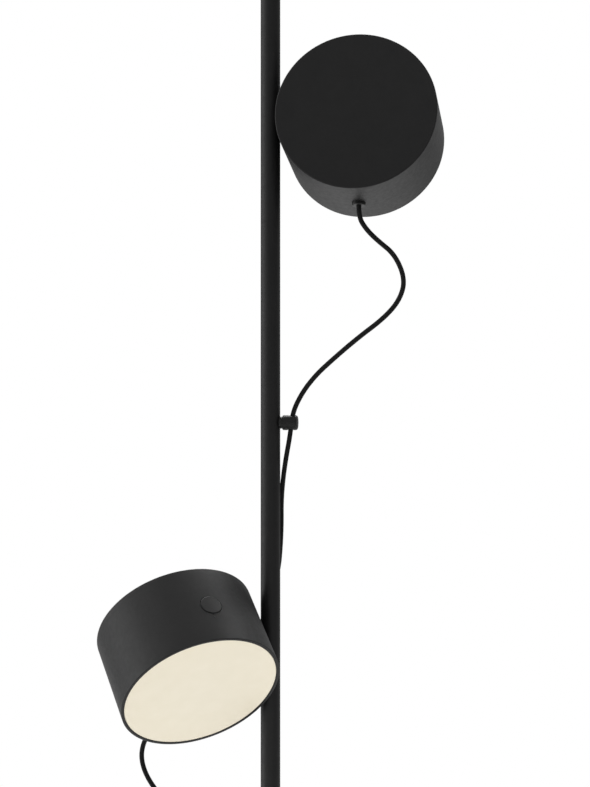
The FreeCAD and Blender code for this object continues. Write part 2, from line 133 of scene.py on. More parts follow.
# Name, place, target and size in metres, and power in watts.
LAMPS = (
    ("left_softbox", (-2.3, 0.15, 1.3), (0, 0, 1.25), (1.3, 2.6), 23),
    ("left_front_softbox", (-1.9, -1.3, 1.3), (0, 0, 1.25), (1.0, 2.4), 6),
    ("high_front_softbox", (0.3, -1.9, 3.7), (0, 0, 1.2), (1.6, 1.6), 8),
    ("floor_lamp_behind", (0.2, 2.0, 3.3), (0.2, 2.0, 0), (2.4, 2.0), 119),
    ("floor_lamp_left", (-1.6, 0.6, 3.0), (-1.6, 0.6, 0), (1.2, 1.6), 17),
    ("floor_lamp_in_front", (0.0, -2.2, 0.9), (0.0, -2.0, 0), (2.4, 0.8), 13),
)

# --- routes of the free cords, in metres ---
# From the bush to the clip: offsets from the pole's axis at the head's height.
UPPER_LEAD = [
    (0.0775, -0.0276, -0.0855),
    (0.0868, -0.0284, -0.0947),
    (0.1004, -0.0283, -0.1056),
    (0.1088, -0.0264, -0.1252),
    (0.1048, -0.0235, -0.1414),
    (0.0924, -0.0203, -0.1560),
    (0.0706, -0.0154, -0.1724),
    (0.0505, -0.0109, -0.1896),
    (0.0370, -0.0081, -0.2021),
    (0.0260, -0.0053, -0.2162),
]
LOWER_LEAD = [
    (-0.0952, 0.0208, -0.0666),
    (-0.1042, 0.0290, -0.0764),
    (-0.1086, 0.0318, -0.0894),
    (-0.1072, 0.0314, -0.1020),
    (-0.1006, 0.0296, -0.1152),
    (-0.0890, 0.0262, -0.1286),
    (-0.0716, 0.0210, -0.1440),
    (-0.0542, 0.0156, -0.1624),
    (-0.0394, 0.0100, -0.1826),
    (-0.0280, 0.0042, -0.2024),
    (-0.0214, -0.0006, -0.2190),
]
# From the clip to the boot: offsets from the clip's height, mirrored on the other side.
TAIL = [
    (0.0180, -0.0031, 0.0082),
    (0.0161, -0.0023, -0.0104),
    (0.0127, -0.0006, -0.0286),
    (0.0101, 0.0039, -0.0468),
    (0.0087, 0.0070, -0.0650),
    (0.0088, 0.0080, -0.0840),
    (0.0079, 0.0124, -0.1030),
    (0.0063, 0.0182, -0.1200),
    (0.0026, 0.0224, -0.1346),
]
HEADS = (("upper", UPPER_LEAD, 1), ("lower", LOWER_LEAD, -1))
# Where a cord's first stretch ends, as a share of the height from the clip up to the bush.
LOOP_START = 0.76


# ---------------------------------------------------------------- places

def joint(name):
    return next(j for j in frame["joints"] if j["name"] == name)


def head_place(prefix):
    """Home frame of a head: X away from the pole, Y out of the light face, Z to the button."""
    out = Vector(joint(f"{prefix}_swivel")["axis"])
    up = -Vector(joint(f"{prefix}_button_press")["axis"])
    ahead = up.cross(out)
    place = Matrix((out, ahead, up)).transposed().to_4x4()
    place.translation = Vector(joint(f"{prefix}_swivel")["pos_m"]) / MM
    return place


def clip_place(prefix):
    """Frame of a clip: Z along its axis, away from the pole."""
    low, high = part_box(f"{prefix}_clip_body")
    middle = (low + high) / 2
    height = middle.z
    out = Vector((middle.x, middle.y, 0)).normalized()
    up = Vector((0, 0, 1))
    place = Matrix((up.cross(out), up, out)).transposed().to_4x4()
    place.translation = Vector((0, 0, height / MM))
    return place


def along_y(x, y, z):
    """Frame of a turned piece whose axis runs along +Y from this point."""
    return Matrix.Translation((x, y, z)) @ Matrix.Rotation(-math.pi / 2, 4, "X")


def along_x(x, y, z):
    return Matrix.Translation((x, y, z)) @ Matrix.Rotation(math.pi / 2, 4, "Y")


def boot_frame(prefix):
    """Frame of a cord boot: origin at its mouth behind the pole, Z inward."""
    slope = math.radians(BOOT_PITCH)
    inward = Vector((0, -math.cos(slope), -math.sin(slope)))
    height = clip_place(prefix).translation.z - BOOT_DROP
    place = inward.to_track_quat("Z", "Y").to_matrix().to_4x4()
    place.translation = Vector((0, POLE_RADIUS, height)) - inward * BOOT_LENGTH
    return place, inward


# ---------------------------------------------------------------- making meshes

def mesh_data(name, mesh):
    data = bpy.data.meshes.new(name)
    mesh.to_mesh(data)
    mesh.free()
    return data


def linked(name, mesh):
    piece = bpy.data.objects.new(name, mesh)
    bpy.context.scene.collection.objects.link(piece)
    return piece


def rounded(corners, closed=False, steps=5):
    """Outline points from (radius, height, break) corners, each broken by a small arc."""
    outline = []
    count = len(corners)
    for index, (r, h, size) in enumerate(corners):
        here = Vector((r, h))
        if size == 0 or (not closed and index in (0, count - 1)):
            outline.append(here)
            continue
        before = (Vector(corners[index - 1][:2]) - here).normalized()
        after = (Vector(corners[(index + 1) % count][:2]) - here).normalized()
        half = before.angle(after) / 2
        centre = here + (before + after).normalized() * (size / math.sin(half))
        start = here + before * (size / math.tan(half)) - centre
        sweep = start.angle_signed(here + after * (size / math.tan(half)) - centre)
        for step in range(steps + 1):
            turn = -sweep * step / steps
            cos, sin = math.cos(turn), math.sin(turn)
            arm = Vector((start.x * cos - start.y * sin, start.x * sin + start.y * cos))
            outline.append(centre + arm)
    return outline


def turned(name, outline, place=Matrix.Identity(4), closed=False, segments=96):
    """Solid of revolution about the place's Z axis."""
    mesh = bmesh.new()
    rings = []
    for r, h in outline:
        if r < 1e-6:
            rings.append([mesh.verts.new((0, 0, h))])
            continue
        ring = []
        for index in range(segments):
            angle = 2 * math.pi * index / segments
            ring.append(mesh.verts.new((r * math.cos(angle), r * math.sin(angle), h)))
        rings.append(ring)
    pairs = list(zip(rings, rings[1:]))
    if closed:
        pairs.append((rings[-1], rings[0]))
    for low, high in pairs:
        for index in range(segments):
            after = (index + 1) % segments
            if len(low) == 1:
                mesh.faces.new((low[0], high[after], high[index]))
            elif len(high) == 1:
                mesh.faces.new((low[index], low[after], high[0]))
            else:
                mesh.faces.new((low[index], low[after], high[after], high[index]))
    bmesh.ops.transform(mesh, matrix=place, verts=mesh.verts)
    bmesh.ops.recalc_face_normals(mesh, faces=mesh.faces)
    return linked(name, mesh_data(name, mesh))


def drill(radius, start, end, place, segments=96):
    """Round rod along the place's Z axis, to cut a hole with."""
    outline = [(0, start), (radius, start), (radius, end), (0, end)]
    return turned("cutter", outline, place, segments=segments)


def with_rows(outline, longest, count):
    """The outline with each step higher than the longest split into rows."""
    rows = []
    for (r, h), (_, next_h) in zip(outline, outline[1:]):
        rows.append((r, h))
        if abs(next_h - h) > longest:
            rows += [(r, h + (next_h - h) * k / count) for k in range(1, count)]
    rows.append(tuple(outline[-1]))
    return rows


def box_piece(name, size, place=Matrix.Identity(4)):
    mesh = bmesh.new()
    bmesh.ops.create_cube(mesh, size=1.0)
    bmesh.ops.transform(mesh, matrix=place @ Matrix.Diagonal((*size, 1)), verts=mesh.verts)
    return linked(name, mesh_data(name, mesh))


def worked(piece):
    """Puts the result of a piece's modifiers in its mesh and clears them."""
    graph = bpy.context.evaluated_depsgraph_get()
    mesh = bpy.data.meshes.new_from_object(piece.evaluated_get(graph))
    piece.modifiers.clear()
    piece.data = mesh


def cut(piece, cutters):
    for cutter in cutters:
        modifier = piece.modifiers.new("cut", "BOOLEAN")
        modifier.operation = "DIFFERENCE"
        modifier.solver = "EXACT"
        modifier.object = cutter
    worked(piece)
    for cutter in cutters:
        bpy.data.objects.remove(cutter)


def broken_edges(piece, width, angle=50, segments=2):
    """Breaks the piece's sharp edges, such as those round its holes."""
    modifier = piece.modifiers.new("edges", "BEVEL")
    modifier.width = width
    modifier.segments = segments
    modifier.limit_method = "ANGLE"
    modifier.angle_limit = math.radians(angle)
    modifier.use_clamp_overlap = False
    worked(piece)


def joined(name, pieces):
    """One mesh of several."""
    mesh = bmesh.new()
    for piece in pieces:
        mesh.from_mesh(piece.data)
        bpy.data.objects.remove(piece)
    return linked(name, mesh_data(name, mesh))


def smooth(piece, angle=32):
    piece.data.shade_smooth()
    piece.data.set_sharp_from_angle(angle=math.radians(angle))
    modifier = piece.modifiers.new("normals", "WEIGHTED_NORMAL")
    modifier.keep_sharp = True
    modifier.weight = 90
    worked(piece)


def placed(piece, paint, place=Matrix.Identity(4)):
    """Brings a piece drawn in millimetres to its place, with its paint."""
    piece.data.transform(Matrix.Scale(MM, 4) @ place)
    piece.data.update()
    smooth(piece)
    piece.data.materials.clear()
    piece.data.materials.append(paint)


def finish_piece(piece, body, nodes, paint, place=Matrix.Identity(4)):
    """Places and paints a piece that rides on one body, and lets it stand for its CAD nodes."""
    placed(piece, paint, place)
    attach(piece, body)
    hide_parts(*nodes)


# ---------------------------------------------------------------- finishes

class Finish:
    """A node material: the shader, and short calls for the textures that feed it."""

    def __init__(self, name, **sockets):
        self.material = bpy.data.materials.new(name)
        self.material.use_nodes = True
        self.nodes = self.material.node_tree.nodes
        self.links = self.material.node_tree.links
        self.shader = self.nodes["Principled BSDF"]
        for socket, value in sockets.items():
            self.shader.inputs[socket.replace("_", " ")].default_value = value
        self.place = self.nodes.new("ShaderNodeTexCoord").outputs["Object"]

    def node(self, kind, inputs=None, **settings):
        made = self.nodes.new(kind)
        for name, value in settings.items():
            setattr(made, name, value)
        for name, value in (inputs or {}).items():
            if isinstance(value, bpy.types.NodeSocket):
                self.links.new(value, made.inputs[name])
            else:
                made.inputs[name].default_value = value
        return made

    def noise(self, scale, detail=2.0, roughness=0.5):
        inputs = {"Vector": self.place, "Scale": scale, "Detail": detail, "Roughness": roughness}
        return self.node("ShaderNodeTexNoise", inputs).outputs["Fac"]

    def spread(self, value, low, high, start=0.3, end=0.7):
        inputs = {"Value": value, "From Min": start, "From Max": end, "To Min": low, "To Max": high}
        return self.node("ShaderNodeMapRange", inputs).outputs["Result"]

    def shades(self, value, dark, light, start=0.3, end=0.7):
        ramp = self.node("ShaderNodeValToRGB", {"Fac": value})
        first, last = ramp.color_ramp.elements
        first.position, last.position = start, end
        first.color, last.color = (*dark, 1), (*light, 1)
        return ramp.outputs["Color"]

    def feed(self, socket, value):
        self.links.new(value, self.shader.inputs[socket])

    def bump(self, height, distance, strength=1.0):
        inputs = {"Height": height, "Distance": distance, "Strength": strength}
        made = self.node("ShaderNodeBump", inputs)
        self.feed("Normal", made.outputs["Normal"])


def powder_coat():
    """Fine satin powder coat: a little orange peel, faintly uneven in tone and gloss."""
    coat = Finish("black_powder_coat", Specular_IOR_Level=0.3)
    tone = coat.shades(coat.noise(70), (0.0050, 0.0050, 0.0052), (0.0066, 0.0065, 0.0067))
    coat.feed("Base Color", tone)
    coat.feed("Roughness", coat.spread(coat.noise(300, 3), 0.46, 0.54))
    coat.bump(coat.noise(2200, 2), 0.00003)
    return coat.material


def moulded_plastic():
    plastic = Finish("black_moulded_plastic", Specular_IOR_Level=0.35)
    tone = plastic.shades(plastic.noise(400), (0.0060, 0.0060, 0.0060), (0.0085, 0.0085, 0.0085))
    plastic.feed("Base Color", tone)
    plastic.feed("Roughness", plastic.spread(plastic.noise(900), 0.40, 0.5))
    plastic.bump(plastic.noise(3500, 2), 0.00001)
    return plastic.material


def black_rubber():
    rubber = Finish("black_rubber")
    tone = rubber.shades(rubber.noise(150, 4), (0.012, 0.012, 0.012), (0.022, 0.021, 0.020))
    rubber.feed("Base Color", tone)
    rubber.feed("Roughness", rubber.spread(rubber.noise(500), 0.7, 0.85))
    rubber.bump(rubber.noise(1800, 3), 0.00005)
    return rubber.material


def metal(name, colour, low, high, streaks=(1, 1, 1)):
    """Bare metal, its gloss uneven along the streaks."""
    bare = Finish(name, Metallic=1.0)
    inputs = {"Vector": bare.place, "Scale": streaks}
    bare.place = bare.node("ShaderNodeMapping", inputs).outputs["Vector"]
    dark = [c * 0.85 for c in colour]
    bare.feed("Base Color", bare.shades(bare.noise(200, 4), dark, colour))
    bare.feed("Roughness", bare.spread(bare.noise(700, 3), low, high))
    bare.bump(bare.noise(1200, 3), 0.00001)
    return bare.material


def plain(name, dark, light, low, high, scale=300.0, depth=0.00001):
    made = Finish(name)
    made.feed("Base Color", made.shades(made.noise(scale, 3), dark, light))
    made.feed("Roughness", made.spread(made.noise(2 * scale, 2), low, high))
    made.bump(made.noise(4 * scale, 2), depth)
    return made.material


def opal(prefix):
    """Warm opal acrylic, lit softly from behind and a little brighter in the middle."""
    face = Finish(f"{prefix}_opal_acrylic", Roughness=0.38, Subsurface_Weight=0.0)
    middle = head_place(prefix) @ Vector((HEAD_MIDDLE, 0, 0)) * MM
    inputs = {"Vector": face.place, "Location": -middle}
    centred = face.node("ShaderNodeMapping", inputs).outputs["Vector"]
    away = face.node("ShaderNodeVectorMath", {0: centred}, operation="LENGTH").outputs["Value"]
    tone = face.shades(face.noise(90, 3), (0.80, 0.735, 0.585), (0.82, 0.755, 0.61))
    face.feed("Base Color", tone)
    glow = face.shades(away, (0.86, 0.82, 0.70), (0.80, 0.735, 0.585), 0.025, 0.068)
    face.feed("Emission Color", glow)
    face.shader.inputs["Emission Strength"].default_value = OPAL_EMISSION
    face.bump(face.noise(900, 2), 0.00002)
    return face.material


def braid():
    """Textile sleeve: two sets of strands that cross along the cord's own UV map, with painted shade in the low
    valleys between them.
    """
    strands_round = 10
    strands_per_metre = 1100
    cloth = Finish("black_braid", Roughness=0.85, Specular_IOR_Level=0.2,
                   Sheen_Weight=0.06, Sheen_Roughness=0.45)
    length_round = cloth.node("ShaderNodeUVMap", uv_map="length_round").outputs["UV"]
    axes = cloth.node("ShaderNodeSeparateXYZ", {0: length_round})

    def maths(operation, *values):
        made = cloth.node("ShaderNodeMath", dict(enumerate(values)), operation=operation)
        return made.outputs[0]

    def waves(sign):
        lengthwise = maths("MULTIPLY", axes.outputs["X"], strands_per_metre)
        round_it = maths("MULTIPLY", axes.outputs["Y"], sign * strands_round)
        phase = maths("ADD", lengthwise, round_it)
        return maths("SINE", maths("MULTIPLY", phase, 2 * math.pi))

    weave = maths("MULTIPLY", waves(1), waves(-1))
    height = cloth.spread(weave, 0.0, 1.0, -1.0, 1.0)
    # Painted shade: the base colour follows the weave's height, darker in the low valleys between strands and
    # lighter on the strand tops.
    cloth.feed("Base Color", cloth.shades(height, (0.0025,) * 3, (0.0120,) * 3, 0.1, 0.9))
    cloth.bump(height, 0.00012)
    return cloth.material


BLACK = powder_coat()
PLASTIC = moulded_plastic()
RUBBER = black_rubber()
BRAID = braid()
STEEL = metal("zinc_plated_steel", (0.56, 0.55, 0.53), 0.28, 0.40)
FINISHES = {
    "black_powder_coat": BLACK,
    "black_plastic": PLASTIC,
    "black_rubber": RUBBER,
    "plain_steel": STEEL,
    "bare_aluminium": metal("mill_aluminium", (0.78, 0.78, 0.79), 0.3, 0.42, (1, 1, 0.1)),
    "nickel_magnet": metal("nickel_plate", (0.66, 0.63, 0.58), 0.12, 0.22),
    "black_braid": BRAID,
    "pale_insulation": plain("pale_insulation", (0.70, 0.70, 0.66), (0.78, 0.78, 0.75), 0.4, 0.5),
    "led_yellow": plain("led_phosphor", (0.80, 0.55, 0.10), (0.90, 0.68, 0.20), 0.2, 0.3),
    "circuit_board": plain("circuit_board", (0.02, 0.12, 0.05), (0.04, 0.18, 0.08), 0.3, 0.4),
    "clear_silicone": plain("pale_silicone", (0.62, 0.62, 0.62), (0.72, 0.72, 0.72), 0.35, 0.45),
}


# ---------------------------------------------------------------- geometry node trees

def named_tree(name, sockets):
    """An empty tree with named inputs and one geometry output, and the sockets of both ends."""
    tree = bpy.data.node_groups.new(name, "GeometryNodeTree")
    tree.interface.new_socket("Geometry", in_out="OUTPUT", socket_type="NodeSocketGeometry")
    for socket, kind in sockets:
        tree.interface.new_socket(socket, in_out="INPUT", socket_type=kind)
    return tree, tree.nodes.new("NodeGroupInput").outputs, tree.nodes.new("NodeGroupOutput").inputs


def tree_node(tree, kind, inputs, **settings):
    made = tree.nodes.new(kind)
    for name, value in settings.items():
        setattr(made, name, value)
    for name, value in inputs.items():
        if isinstance(value, bpy.types.NodeSocket):
            tree.links.new(value, made.inputs[name])
        else:
            made.inputs[name].default_value = value
    return made


def ended(tree, shape, given, result):
    """Ends a tree: makes its copies real, paints them and hands them out."""
    real = tree_node(tree, "GeometryNodeRealizeInstances", {"Geometry": shape})
    painted = tree_node(tree, "GeometryNodeSetMaterial", {
        "Geometry": real.outputs[0], "Material": given["Material"]})
    tree.links.new(painted.outputs[0], result["Geometry"])
    return tree


def ring_tree():
    """Copies of the object's own mesh, evenly round the Z axis, each with its X axis outward."""
    sockets = (("Copy", "NodeSocketGeometry"), ("Count", "NodeSocketInt"),
               ("Radius", "NodeSocketFloat"), ("Material", "NodeSocketMaterial"))
    tree, given, result = named_tree("ring_of_copies", sockets)
    circle = tree_node(tree, "GeometryNodeMeshCircle", {
        "Vertices": given["Count"], "Radius": given["Radius"]})
    where = tree_node(tree, "GeometryNodeInputPosition", {})
    turn = tree_node(tree, "FunctionNodeAlignRotationToVector",
                     {"Vector": where.outputs[0]}, axis="X")
    copies = tree_node(tree, "GeometryNodeInstanceOnPoints", {
        "Points": circle.outputs["Mesh"], "Instance": given["Copy"], "Rotation": turn.outputs[0]})
    return ended(tree, copies.outputs[0], given, result)


def coil_tree():
    """Compression spring along the Z axis."""
    sockets = (("Seat", "NodeSocketGeometry"), ("Turns", "NodeSocketFloat"),
               ("Radius", "NodeSocketFloat"), ("Height", "NodeSocketFloat"),
               ("Wire Radius", "NodeSocketFloat"), ("Material", "NodeSocketMaterial"))
    tree, given, result = named_tree("coil_spring", sockets)
    spiral = tree_node(tree, "GeometryNodeCurveSpiral", {
        "Resolution": 28, "Rotations": given["Turns"], "Start Radius": given["Radius"],
        "End Radius": given["Radius"], "Height": given["Height"]})
    section = tree_node(tree, "GeometryNodeCurvePrimitiveCircle", {
        "Resolution": 8, "Radius": given["Wire Radius"]})
    wire = tree_node(tree, "GeometryNodeCurveToMesh", {
        "Curve": spiral.outputs[0], "Profile Curve": section.outputs[0], "Fill Caps": True})
    return ended(tree, wire.outputs[0], given, result)


RING = ring_tree()
COIL = coil_tree()


def grown(piece, tree, **values):
    """Runs a tree on a piece, its inputs given by name, and keeps the result as a plain mesh."""
    modifier = piece.modifiers.new(tree.name, "NODES")
    sockets = {s.name.replace(" ", "_"): s.identifier
               for s in tree.interface.items_tree if s.in_out == "INPUT"}
    for name, value in values.items():
        modifier[sockets[name]] = value
    modifier.node_group = tree
    for name, value in values.items():
        modifier[sockets[name]] = value
    worked(piece)


# ---------------------------------------------------------------- camera and cords

def set_camera():
    lens = bpy.data.cameras.new("photo_camera")
    lens.sensor_width = 36.0
    lens.lens = CAMERA_LENS
    lens.shift_x = -VIEW_AXIS_RIGHT_OF_MIDDLE / IMAGE_HEIGHT
    lens.shift_y = VIEW_AXIS_BELOW_MIDDLE / IMAGE_HEIGHT
    camera = linked("photo_camera", lens)
    camera.location = CAMERA_PLACE
    camera.rotation_euler = (math.pi / 2, 0, 0)
    bpy.context.scene.camera = camera


def cord_route(prefix, lead, side):
    """The route's points in metres: the bush, the lead, the clip and the tail down to the boot."""
    bush = head_place(prefix)
    tip = Vector((HEAD_MIDDLE, BUSH_FROM_BACK - CONTACT_FROM_BACK, -HEAD_RADIUS - BUSH_PROUD))
    up = Vector((0, 0, 1))
    points = [bush @ (tip + up * CORD_BORE_DEPTH) * MM, bush @ (tip - up * CORD_STRAIGHT) * MM]
    head_height = Vector((0, 0, joint(f"{prefix}_swivel")["pos_m"][2]))
    points += [head_height + Vector(p) for p in lead]
    clip_height = clip_place(prefix).translation.z * MM
    points += [Vector((side * x, y, clip_height + z)) for x, y, z in TAIL]
    boot, inward = boot_frame(prefix)
    mouth = boot.translation
    points += [(mouth - inward * CORD_STRAIGHT) * MM, (mouth + inward * CORD_BORE_DEPTH) * MM]
    return points


def smooth_line(points):
    """Close points along the NURBS spline that has the route's points for its control points."""
    curve = bpy.data.curves.new("route", "CURVE")
    curve.dimensions = "3D"
    spline = curve.splines.new("NURBS")
    spline.points.add(len(points) - 1)
    for control, point in zip(spline.points, points):
        control.co = (*point, 1)
    spline.order_u = 3
    spline.use_endpoint_u = True
    spline.resolution_u = 12
    holder = linked("route", curve)
    graph = bpy.context.evaluated_depsgraph_get()
    mesh = bpy.data.meshes.new_from_object(holder.evaluated_get(graph))
    line = [vertex.co.copy() for vertex in mesh.vertices]
    bpy.data.objects.remove(holder)
    return line


def line_length(line):
    return sum((b - a).length for a, b in zip(line, line[1:]))


def sleeve(name, line, start_length, sides=20):
    """Round tube along a line, with a UV map of metres along it and turns round it."""
    radius = CORD_RADIUS * MM
    mesh = bmesh.new()
    uv = mesh.loops.layers.uv.new("length_round")
    ahead = (line[1] - line[0]).normalized()
    across = ahead.orthogonal().normalized()
    rings, lengths, travelled = [], [], start_length
    for index, point in enumerate(line):
        before = line[max(index - 1, 0)]
        after = line[min(index + 1, len(line) - 1)]
        direction = (after - before).normalized()
        across = ahead.rotation_difference(direction) @ across
        ahead = direction
        other = ahead.cross(across)
        ring = []
        for side in range(sides):
            angle = 2 * math.pi * side / sides
            offset = across * math.cos(angle) + other * math.sin(angle)
            ring.append(mesh.verts.new(point + offset * radius))
        travelled += (point - before).length
        rings.append(ring)
        lengths.append(travelled)
    for index in range(len(rings) - 1):
        for side in range(sides):
            after = (side + 1) % sides
            near, far = rings[index], rings[index + 1]
            face = mesh.faces.new((near[side], near[after], far[after], far[side]))
            marks = ((index, side), (index, side + 1), (index + 1, side + 1), (index + 1, side))
            for loop, (ring_index, turn) in zip(face.loops, marks):
                loop[uv].uv = (lengths[ring_index], turn / sides)
    mesh.faces.new(reversed(rings[0]))
    mesh.faces.new(rings[-1])
    data = mesh_data(name, mesh)
    data.shade_smooth()
    data.set_sharp_from_angle(angle=math.radians(60))
    data.materials.append(BRAID)
    return linked(name, data)


def make_cord(prefix, lead, side):
    """A free cord in three lengths, the loop, the drop and the tail, each baked where it lies."""
    line = smooth_line(cord_route(prefix, lead, side))
    top = line[0].z
    clip_height = clip_place(prefix).translation.z * MM
    split = clip_height + LOOP_START * (top - clip_height)
    first = next(i for i, p in enumerate(line) if p.z < split)
    second = next(i for i, p in enumerate(line) if p.z < clip_height)
    stretches = (
        ("loop", 0, first, f"{prefix}_head", f"{prefix}_shoe"),
        ("drop", first, second, f"{prefix}_shoe", f"{prefix}_clip"),
        ("tail", second, len(line) - 1, f"{prefix}_clip", "root"),
    )
    for label, start, end, above, below in stretches:
        part = line[start:end + 1]
        piece = sleeve(f"{prefix}_cord_{label}", part, line_length(line[:start + 1]))
        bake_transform(piece)
        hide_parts(f"{prefix}_cord")


# ---------------------------------------------------------------- lamp heads

def head_shell(prefix):
    """Can with softly broken edges, and holes for the button, the bush and the magnet shoe."""
    outer, inner, deep = HEAD_RADIUS, HEAD_RADIUS - HEAD_WALL, HEAD_DEPTH
    rows = with_rows(rounded([
        (0, 0, 0),
        (outer, 0, 0.9),
        (outer, deep, 0.5),
        (inner, deep, 0.3),
        (inner, HEAD_BACK, 1.0),
        (0, HEAD_BACK, 0),
    ]), longest=20, count=14)
    back = -CONTACT_FROM_BACK
    shell = turned(f"{prefix}_housing", rows, along_y(HEAD_MIDDLE, back, 0), segments=192)
    contact = along_x(POLE_RADIUS, 0, 0)
    cut(shell, [
        drill(BUTTON_RADIUS + BUTTON_GAP, 50, 75,
              Matrix.Translation((HEAD_MIDDLE, back + BUTTON_FROM_BACK, 0))),
        drill(BUSH_HOLE_RADIUS, -72, -50,
              Matrix.Translation((HEAD_MIDDLE, back + BUSH_FROM_BACK, 0))),
        drill(SHOE_RECESS_RADIUS, 0, SHOE_RECESS_DEPTH, contact),
        drill(SHAFT_HOLE_RADIUS, 0, 9, contact),
    ])
    broken_edges(shell, 0.22)
    finish_piece(shell, f"{prefix}_head", [f"{prefix}_shell"], BLACK,
                 head_place(prefix))


def diffuser(prefix):
    """Opal disc with a softened edge, sunk a little in the light face."""
    radius = HEAD_RADIUS - HEAD_WALL - DIFFUSER_GAP
    front = DIFFUSER_THICKNESS
    outline = rounded([(0, 0, 0), (radius, 0, 0.3), (radius, front, 0.35), (0, front, 0)])
    start = HEAD_DEPTH - DIFFUSER_RECESS - DIFFUSER_THICKNESS - CONTACT_FROM_BACK
    disc = turned(f"{prefix}_opal_disc", outline, along_y(HEAD_MIDDLE, start, 0), segments=160)
    finish_piece(disc, f"{prefix}_head", [f"{prefix}_diffuser"], opal(prefix),
                 head_place(prefix))


def push_button(prefix):
    """Button cap whose top follows the round of the wall, on its flange and stem."""
    segments = 72
    edge = 0.55
    rings = [(r, 0.0) for r in (0.01, 2.0, 4.0, 5.5, 7.2, BUTTON_RADIUS - edge - 0.1)]
    for step in range(7):
        angle = math.pi / 2 * step / 6
        rings.append((BUTTON_RADIUS - edge + edge * math.sin(angle), edge * (math.cos(angle) - 1)))
    rings += [(BUTTON_RADIUS, -1.5), (BUTTON_RADIUS, -3.3)]
    mesh = bmesh.new()
    crown = HEAD_RADIUS + BUTTON_PROUD
    loops = []
    for r, drop in rings:
        loop = []
        for index in range(segments):
            angle = 2 * math.pi * index / segments
            x, y = r * math.cos(angle), r * math.sin(angle)
            loop.append(mesh.verts.new((x, y, math.sqrt(crown ** 2 - x ** 2) + drop)))
        loops.append(loop)
    for upper, lower in zip(loops, loops[1:]):
        for index in range(segments):
            after = (index + 1) % segments
            mesh.faces.new((lower[index], lower[after], upper[after], upper[index]))
    mesh.faces.new(loops[0])
    mesh.faces.new(reversed(loops[-1]))
    bmesh.ops.recalc_face_normals(mesh, faces=mesh.faces)
    cap = linked("cap", mesh_data("cap", mesh))
    flange = box_piece("flange", (22, 12, 1.2), Matrix.Translation((0, 0, 60.62)))
    stem = box_piece("stem", (3, 3, 2.6), Matrix.Translation((0, 0, 58.9)))
    for part in (flange, stem):
        broken_edges(part, 0.25)
    button = joined(f"{prefix}_push_button", [cap, flange, stem])
    place = head_place(prefix) @ Matrix.Translation(
        (HEAD_MIDDLE, BUTTON_FROM_BACK - CONTACT_FROM_BACK, 0))
    finish_piece(button, f"{prefix}_button", [f"{prefix}_button"], PLASTIC,
                 place)


def cord_gland(prefix):
    """Ring of the bush that the cord leaves through, with a rounded lip and a bore."""
    tip = -HEAD_RADIUS - BUSH_PROUD
    outline = rounded([
        (CORD_BORE, tip, 0.35),
        (CORD_BORE, tip + 6.0, 0),
        (0.6, tip + 7.5, 0),
        (4.0, tip + 7.5, 0.3),
        (4.0, tip + BUSH_PROUD, 0.2),
        (BUSH_RADIUS, tip + BUSH_PROUD + 0.2, 0.1),
        (BUSH_RADIUS, tip, 0.8),
    ], closed=True)
    middle = Matrix.Translation((HEAD_MIDDLE, BUSH_FROM_BACK - CONTACT_FROM_BACK, 0))
    gland = turned(f"{prefix}_cord_gland", outline, middle, closed=True, segments=64)
    finish_piece(gland, f"{prefix}_head", [f"{prefix}_cord_bush"], PLASTIC,
                 head_place(prefix))


# ---------------------------------------------------------------- clips and boots

def cord_clip(prefix):
    """Round clip with a soft outer end and a leaning hole that the cord runs through."""
    rows = with_rows(rounded([
        (0, CLIP_FACE, 0),
        (CLIP_RADIUS, CLIP_FACE, 0.5),
        (CLIP_RADIUS, CLIP_REACH, 1.7),
        (0, CLIP_REACH, 0),
    ], steps=6), longest=5, count=8)
    clip = turned(f"{prefix}_cord_clip", rows, segments=72)
    lean = math.atan2(TAIL[0][0] - TAIL[1][0], TAIL[0][2] - TAIL[1][2])
    leaning = Matrix.Translation((0, 0, CLIP_HOLE)) @ Matrix.Rotation(-math.pi / 2 + lean, 4, "X")
    cut(clip, [drill(CLIP_HOLE_RADIUS, -20, 20, leaning, segments=48)])
    broken_edges(clip, 0.25)
    finish_piece(clip, f"{prefix}_clip", [f"{prefix}_clip_body"], BLACK,
                 clip_place(prefix))
    neck = turned(f"{prefix}_clip_neck", rounded([
        (0, POLE_RADIUS - 0.6, 0),
        (CLIP_NECK_RADIUS, POLE_RADIUS - 0.6, 0.3),
        (CLIP_NECK_RADIUS, CLIP_FACE - 0.05, 0.1),
        (0, CLIP_FACE - 0.05, 0),
    ]), segments=64)
    cut(neck, [drill(POLE_RADIUS + 0.06, -30, 30, Matrix.Rotation(math.pi / 2, 4, "X"))])
    finish_piece(neck, f"{prefix}_clip", [f"{prefix}_clip_magnet"], PLASTIC,
                 clip_place(prefix))


def cord_boot(prefix):
    """Tapered boot with three grip rings, where the cord enters the back of the pole."""
    place, _ = boot_frame(prefix)
    rings = []
    for index in range(3):
        start = 1.6 + 1.6 * index
        shoulder = 3.2 + 0.1 * index
        rings += [(shoulder, start, 0.15), (shoulder - 0.45, start + 0.3, 0.1),
                  (shoulder - 0.45, start + 0.8, 0.1), (shoulder + 0.1, start + 1.1, 0.15)]
    outline = rounded([(CORD_BORE, 3.0, 0), (CORD_BORE, 0, 0.3), (3.0, 0, 0.5)] + rings + [
        (BOOT_RADIUS, 7.0, 0.4),
        (BOOT_RADIUS, 11.5, 0.2),
        (0.5, 11.5, 0),
        (0.5, 3.2, 0),
    ], closed=True, steps=3)
    boot = turned(f"{prefix}_boot", outline, place, closed=True, segments=56)
    finish_piece(boot, "root", [f"{prefix}_cord_boot"], PLASTIC)


# ---------------------------------------------------------------- pole, foot and top

def node_span(node):
    """Lowest and highest Z of a CAD node, in millimetres."""
    low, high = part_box(node)
    return low.z / MM, high.z / MM


